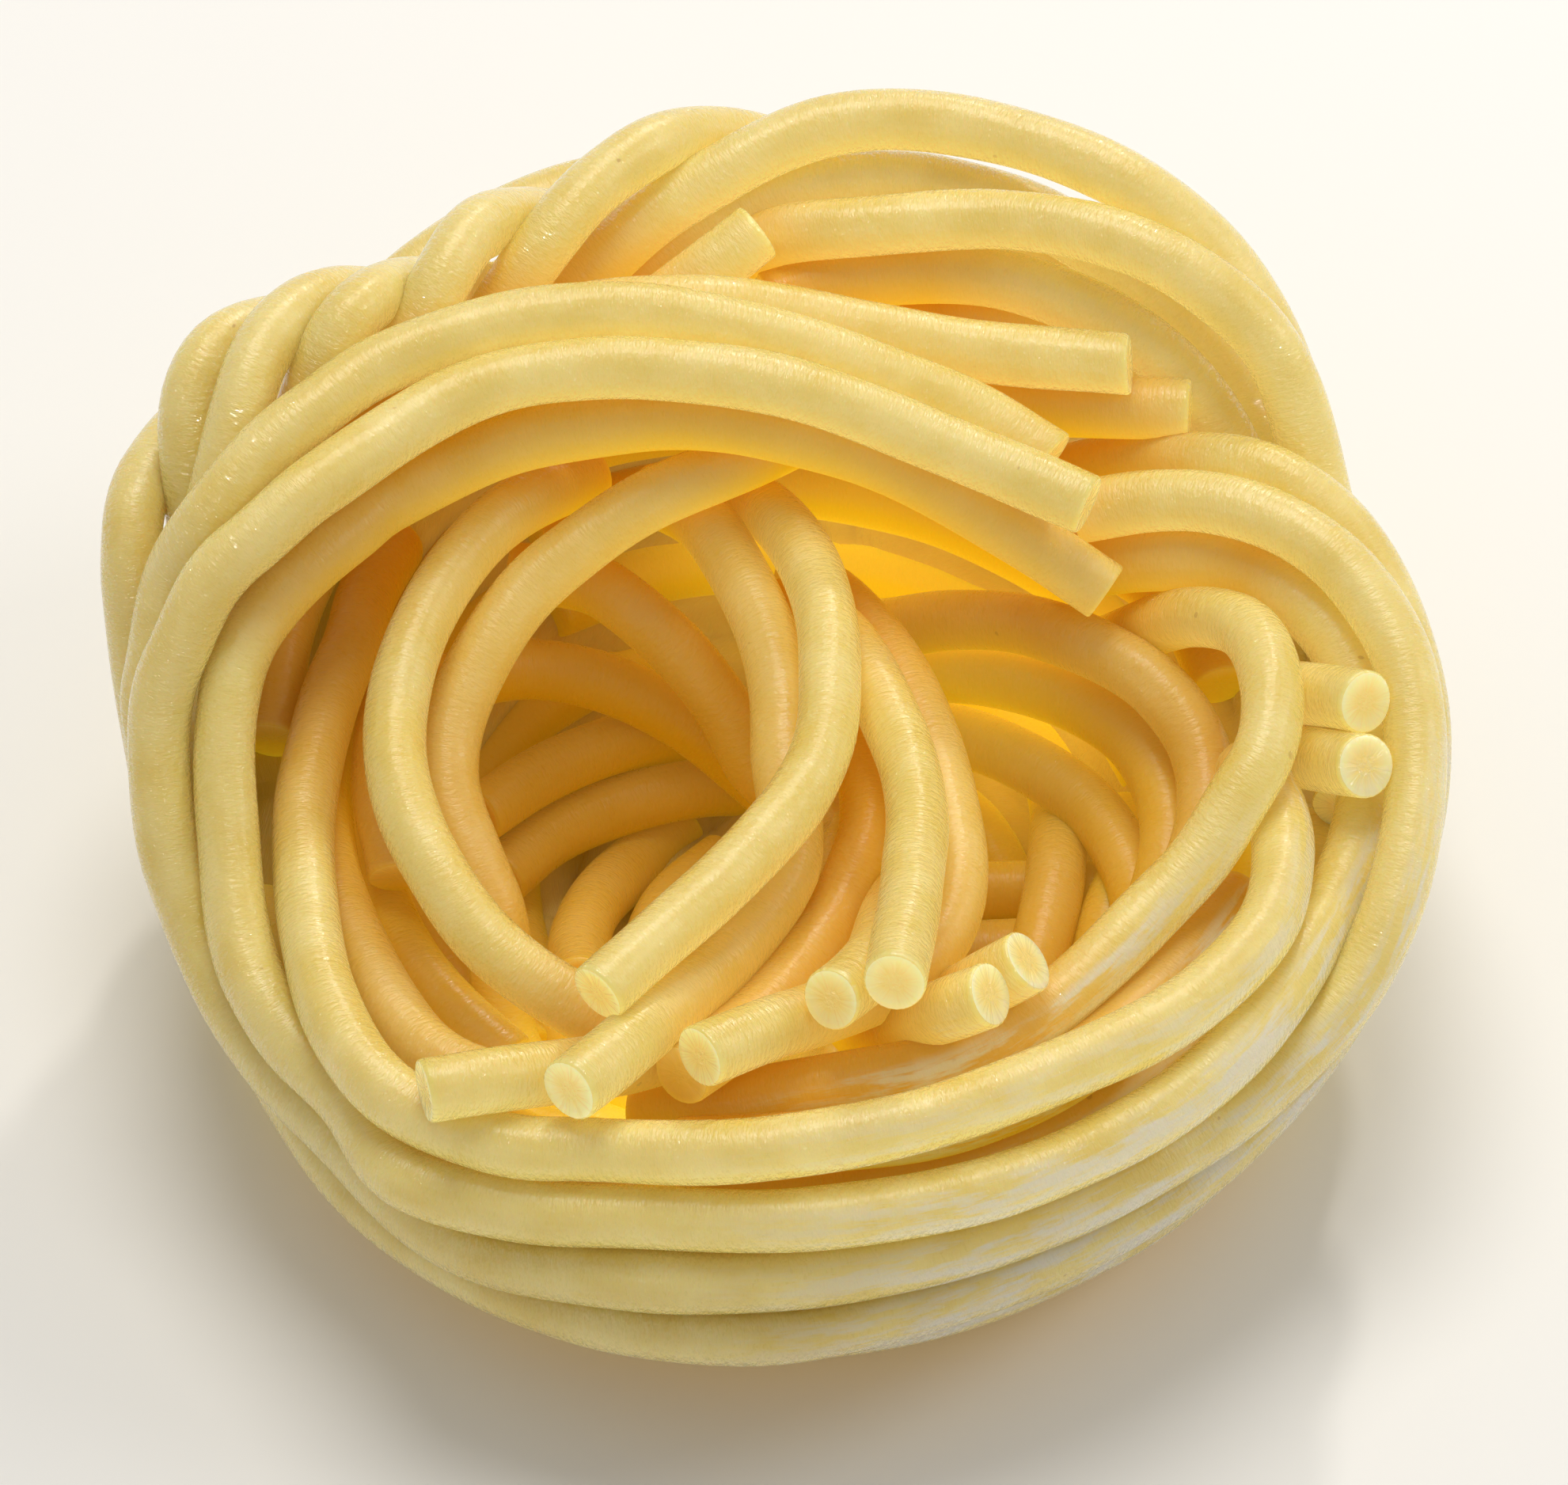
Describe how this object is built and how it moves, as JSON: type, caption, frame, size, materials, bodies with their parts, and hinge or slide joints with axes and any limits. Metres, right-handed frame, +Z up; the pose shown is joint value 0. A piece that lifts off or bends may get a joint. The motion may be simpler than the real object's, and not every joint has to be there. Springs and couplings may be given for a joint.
{
  "type": "dry pasta nest",
  "caption": "Nest of thick dry spaghetti strands wound into a round bowl-shaped bundle, with cut ends and two hollows.",
  "frame": {"origin": "centre of the nest's bounding box, on the surface it rests on", "axes": "+Z up through the nest, -Y towards the low front rim, +Y towards the high back rim, +X to the right seen from the front"},
  "size_m": [0.051, 0.05, 0.0246],
  "materials": {
    "dried_pasta": "dry durum wheat pasta, slightly translucent, fine rough skin with a soft gloss along the strands"
  },
  "bodies": {
    "root": {"pasta_nest": "dried_pasta"}
  },
  "joints": []
}
